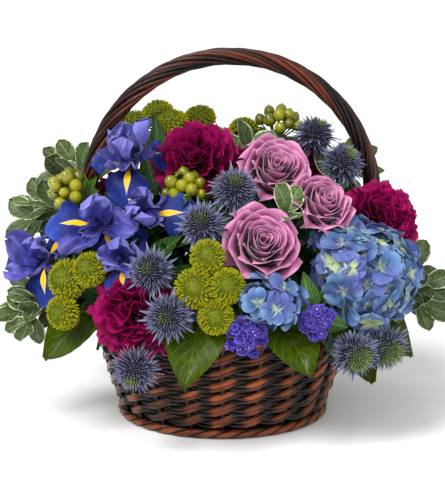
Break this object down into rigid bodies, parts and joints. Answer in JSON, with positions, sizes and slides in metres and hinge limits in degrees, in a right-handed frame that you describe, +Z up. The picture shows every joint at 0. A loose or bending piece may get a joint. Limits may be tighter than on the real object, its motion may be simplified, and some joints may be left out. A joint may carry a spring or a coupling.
{
  "type": "flower basket arrangement",
  "caption": "Hoop-handled willow basket filled with wet foam and a dome of roses, carnations, irises, hydrangeas, button mums, thistles, berries and leaves.",
  "frame": {"origin": "middle of the basket's underside, on the surface it stands on", "axes": "+Z up, -Y towards the display side, +X to the right as seen from the display side; the handle hoop lies in the XZ plane"},
  "size_m": [0.4187, 0.3585, 0.352],
  "materials": {
    "stained_willow": "split willow, stained dark brown and lacquered",
    "handle_willow": "willow rods bound in a slow twist, stained dark brown",
    "liner_plastic": "thin moulded plastic",
    "wet_floral_foam": "open-cell foam soaked with water",
    "rose_petal": "velvety petal",
    "carnation_petal": "ruffled matt petal",
    "iris_petal": "silky veined petal",
    "mum_petal": "tight matt florets",
    "thistle_bract": "stiff spiny bracts",
    "berry_skin": "smooth waxy skin",
    "hydrangea_sepal": "thin veined sepal",
    "statice_calyx": "papery",
    "pittosporum_leaf": "leathery variegated leaf",
    "salal_leaf": "thick glossy leaf"
  },
  "bodies": {
    "root": {"basket_base": "stained_willow", "basket_foot": "stained_willow", "basket_liner": "liner_plastic", "basket_rim": "stained_willow", "basket_wall": "stained_willow", "button_mum_spray_1": "mum_petal", "button_mum_spray_2": "mum_petal", "button_mum_spray_3": "mum_petal", "button_mum_spray_4": "mum_petal", "carnation_1": "carnation_petal", "carnation_2": "carnation_petal", "carnation_3": "carnation_petal", "carnation_4": "carnation_petal", "carnation_5": "carnation_petal", "eryngium_1": "thistle_bract", "eryngium_2": "thistle_bract", "eryngium_3": "thistle_bract", "eryngium_4": "thistle_bract", "eryngium_5": "thistle_bract", "eryngium_6": "thistle_bract", "eryngium_7": "thistle_bract", "floral_foam": "wet_floral_foam", "handle": "handle_willow", "hydrangea_1": "hydrangea_sepal", "hydrangea_2": "hydrangea_sepal", "hydrangea_3": "hydrangea_sepal", "hypericum_1": "berry_skin", "hypericum_2": "berry_skin", "hypericum_3": "berry_skin", "hypericum_4": "berry_skin", "iris_1": "iris_petal", "iris_2": "iris_petal", "iris_3": "iris_petal", "iris_4": "iris_petal", "iris_5": "iris_petal", "iris_6": "iris_petal", "pittosporum_sprig_1": "pittosporum_leaf", "pittosporum_sprig_2": "pittosporum_leaf", "pittosporum_sprig_3": "pittosporum_leaf", "pittosporum_sprig_4": "pittosporum_leaf", "pittosporum_sprig_5": "pittosporum_leaf", "pittosporum_sprig_6": "pittosporum_leaf", "pittosporum_sprig_7": "pittosporum_leaf", "pittosporum_sprig_8": "pittosporum_leaf", "rose_1": "rose_petal", "rose_2": "rose_petal", "rose_3": "rose_petal", "rose_4": "rose_petal", "rose_5": "rose_petal", "salal_leaf_1": "salal_leaf", "salal_leaf_2": "salal_leaf", "salal_leaf_3": "salal_leaf", "salal_leaf_4": "salal_leaf", "salal_leaf_5": "salal_leaf", "salal_leaf_6": "salal_leaf", "salal_leaf_7": "salal_leaf", "statice_1": "statice_calyx", "statice_2": "statice_calyx", "statice_3": "statice_calyx"}
  },
  "joints": []
}
